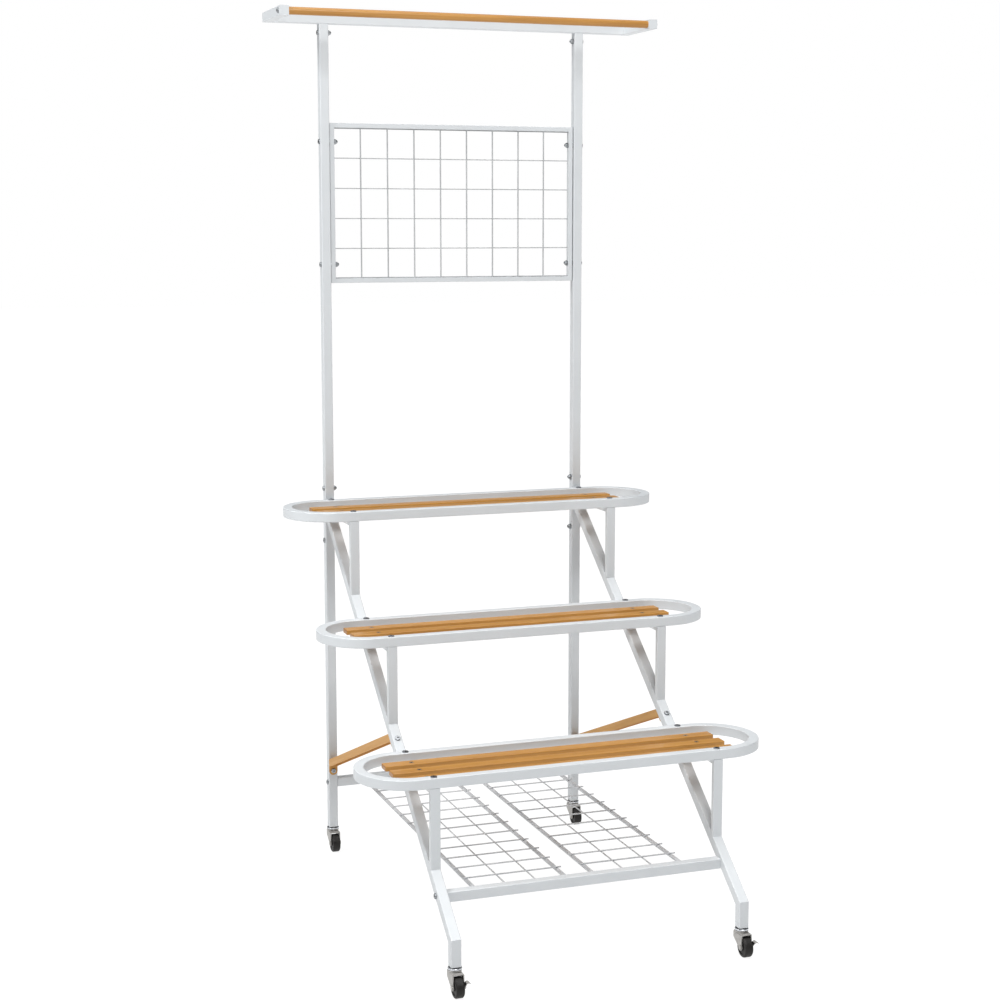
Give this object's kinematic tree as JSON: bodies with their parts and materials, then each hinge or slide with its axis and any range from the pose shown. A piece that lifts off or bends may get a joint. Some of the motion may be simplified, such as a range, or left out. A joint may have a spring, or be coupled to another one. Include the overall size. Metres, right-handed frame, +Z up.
{
  "type": "plant stand with trellis",
  "caption": "Rolling plant stand: stepped slatted shelves on sloping legs, mesh deck below, tall posts with a wire trellis and a hanging rod on top.",
  "frame": {"origin": "on the floor, under the middle of the whole stand's box", "axes": "+Z up, -Y to the front where the lowest shelf is, +X to the stand's right seen from the front"},
  "size_m": [0.85, 0.933, 1.849],
  "materials": {
    "white_coat": "satin",
    "slat_wood": "satin",
    "brace_coat": "satin",
    "zinc": "satin",
    "dark_zinc": "satin",
    "black_nylon": "matte",
    "wheel_black": "matte"
  },
  "bodies": {
    "frame": {"post_lower_left": "white_coat", "post_middle_left": "white_coat", "post_upper_left": "white_coat", "leg_left": "white_coat", "leg_end_left": "white_coat", "hanger_arm_left": "white_coat", "trellis_stile_left": "white_coat", "mesh_panel_left": "white_coat", "shelf_bracket_1_left": "white_coat", "shelf_bracket_2_left": "white_coat", "shelf_bracket_3_left": "white_coat", "post_lower_right": "white_coat", "post_middle_right": "white_coat", "post_upper_right": "white_coat", "leg_right": "white_coat", "leg_end_right": "white_coat", "hanger_arm_right": "white_coat", "trellis_stile_right": "white_coat", "mesh_panel_right": "white_coat", "shelf_bracket_1_right": "white_coat", "shelf_bracket_2_right": "white_coat", "shelf_bracket_3_right": "white_coat", "shelf_rim_1": "white_coat", "shelf_rim_2": "white_coat", "shelf_rim_3": "white_coat", "hanger_back_bar": "white_coat", "trellis_rail_upper": "white_coat", "trellis_rail_lower": "white_coat", "trellis_grid": "white_coat", "crossbar_front": "white_coat", "crossbar_rear": "white_coat", "shelf_slats_1": "slat_wood", "shelf_slats_2": "slat_wood", "shelf_slats_3": "slat_wood", "hanger_rod": "slat_wood", "brace_left": "brace_coat", "brace_right": "brace_coat", "tube_sleeves": "zinc", "post_bolts": "zinc", "trellis_bolts": "zinc", "trellis_spacers": "zinc", "brace_bolts": "zinc", "acorn_nuts": "zinc", "end_bolts": "zinc", "caster_stems": "zinc", "rim_bolts": "dark_zinc", "slat_screws": "dark_zinc", "caster_inserts": "black_nylon", "crossbar_plugs": "black_nylon"},
    "fork_front_left": {"caster_fork_front_left": "zinc"},
    "wheel_front_left": {"caster_wheel_front_left": "wheel_black"},
    "brake_front_left": {"caster_brake_front_left": "zinc"},
    "fork_front_right": {"caster_fork_front_right": "zinc"},
    "wheel_front_right": {"caster_wheel_front_right": "wheel_black"},
    "brake_front_right": {"caster_brake_front_right": "zinc"},
    "fork_rear_left": {"caster_fork_rear_left": "zinc"},
    "wheel_rear_left": {"caster_wheel_rear_left": "wheel_black"},
    "fork_rear_right": {"caster_fork_rear_right": "zinc"},
    "wheel_rear_right": {"caster_wheel_rear_right": "wheel_black"}
  },
  "joints": [
    {"name": "swivel_front_left", "type": "hinge", "parent": "frame", "child": "fork_front_left", "pos_m": [-0.2935, -0.42955, 0.0494], "axis": [0, 0, 1], "continuous": true},
    {"name": "roll_front_left", "type": "hinge", "parent": "fork_front_left", "child": "wheel_front_left", "pos_m": [-0.2935, -0.44655, 0.02], "axis": [1, 0, 0], "continuous": true},
    {"name": "brake_front_left", "type": "hinge", "parent": "fork_front_left", "child": "brake_front_left", "pos_m": [-0.2935, -0.44655, 0.02], "axis": [1, 0, 0], "range_deg": [0, 20]},
    {"name": "swivel_front_right", "type": "hinge", "parent": "frame", "child": "fork_front_right", "pos_m": [0.2935, -0.42955, 0.0494], "axis": [0, 0, 1], "continuous": true},
    {"name": "roll_front_right", "type": "hinge", "parent": "fork_front_right", "child": "wheel_front_right", "pos_m": [0.2935, -0.44655, 0.02], "axis": [1, 0, 0], "continuous": true},
    {"name": "brake_front_right", "type": "hinge", "parent": "fork_front_right", "child": "brake_front_right", "pos_m": [0.2935, -0.44655, 0.02], "axis": [1, 0, 0], "range_deg": [0, 20]},
    {"name": "swivel_rear_left", "type": "hinge", "parent": "frame", "child": "fork_rear_left", "pos_m": [-0.2935, 0.44795, 0.0494], "axis": [0, 0, 1], "continuous": true},
    {"name": "roll_rear_left", "type": "hinge", "parent": "fork_rear_left", "child": "wheel_rear_left", "pos_m": [-0.2935, 0.43095, 0.02], "axis": [1, 0, 0], "continuous": true},
    {"name": "swivel_rear_right", "type": "hinge", "parent": "frame", "child": "fork_rear_right", "pos_m": [0.2935, 0.44795, 0.0494], "axis": [0, 0, 1], "continuous": true},
    {"name": "roll_rear_right", "type": "hinge", "parent": "fork_rear_right", "child": "wheel_rear_right", "pos_m": [0.2935, 0.43095, 0.02], "axis": [1, 0, 0], "continuous": true}
  ]
}
